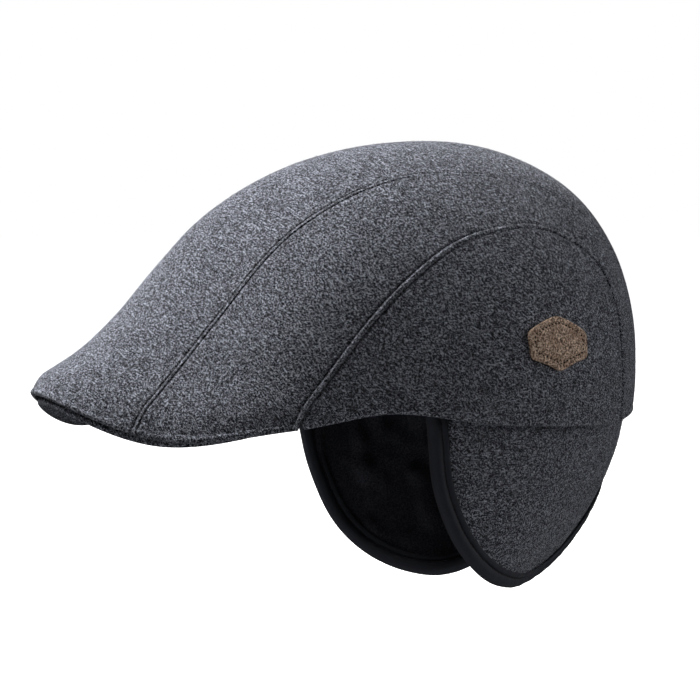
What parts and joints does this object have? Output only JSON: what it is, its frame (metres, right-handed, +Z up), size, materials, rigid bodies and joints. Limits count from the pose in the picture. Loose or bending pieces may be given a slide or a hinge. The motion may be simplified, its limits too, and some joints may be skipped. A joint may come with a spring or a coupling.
{
  "type": "flat cap with ear flaps",
  "caption": "Duckbill flat cap of wool cloth in long curved panels, with a bound ear flap band hanging below the rim and a bare leather patch on one side.",
  "frame": {"origin": "middle of the rim, in the rim's plane, where a head holds the cap", "axes": "+Z up through the crown, the peak points to -Y, +X is the wearer's left"},
  "size_m": [0.1706, 0.2621, 0.1881],
  "materials": {
    "wool": "dark grey melange wool, brushed",
    "flap_wool": "dark grey melange wool, brushed",
    "black_lining": "matt black fleece lining",
    "black_tape": "black folded binding tape, slight sheen",
    "patch_leather": "worn brown leather, stitched near its edge"
  },
  "bodies": {
    "root": {"crown_centre_panel": "wool", "crown_mid_panel_left": "wool", "crown_mid_panel_right": "wool", "side_panel_left": "wool", "side_panel_right": "wool", "peak_underside": "wool", "earflap_shell": "flap_wool", "earflap_lining": "black_lining", "earflap_binding": "black_tape", "leather_patch": "patch_leather"}
  },
  "joints": []
}
